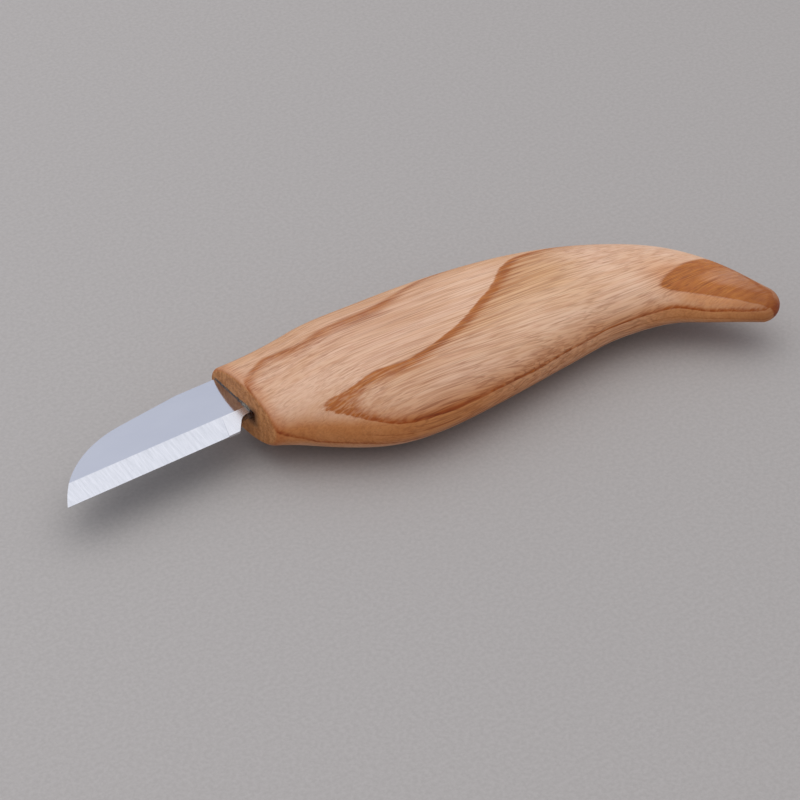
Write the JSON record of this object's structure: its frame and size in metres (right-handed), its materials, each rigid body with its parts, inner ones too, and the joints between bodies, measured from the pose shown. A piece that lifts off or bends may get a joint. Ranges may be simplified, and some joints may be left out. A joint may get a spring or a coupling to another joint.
{
  "type": "whittling knife",
  "caption": "Fixed whittling knife: short straight-edged steel blade with a round-dropped tip, hidden tang bedded in adhesive, in a curved one-piece ash palm handle.",
  "frame": {"origin": "centre of the tang where it leaves the handle's front face", "axes": "+X from the blade into the handle, towards its tail; +Y from the cutting edge to the spine; +Z out of the blade's flat, up when the knife lies on its broad side"},
  "size_m": [0.1635, 0.0543, 0.02],
  "materials": {
    "polished_steel": "mirror-polished carbon steel flats with finely ground bevels",
    "epoxy": "cured grey epoxy, uneven and slightly dusty",
    "ash_wood": "oiled ash, smooth sanded, satin sheen, open pores along the grain"
  },
  "bodies": {
    "root": {"blade": "polished_steel", "tang_adhesive": "epoxy", "handle": "ash_wood"}
  },
  "joints": []
}
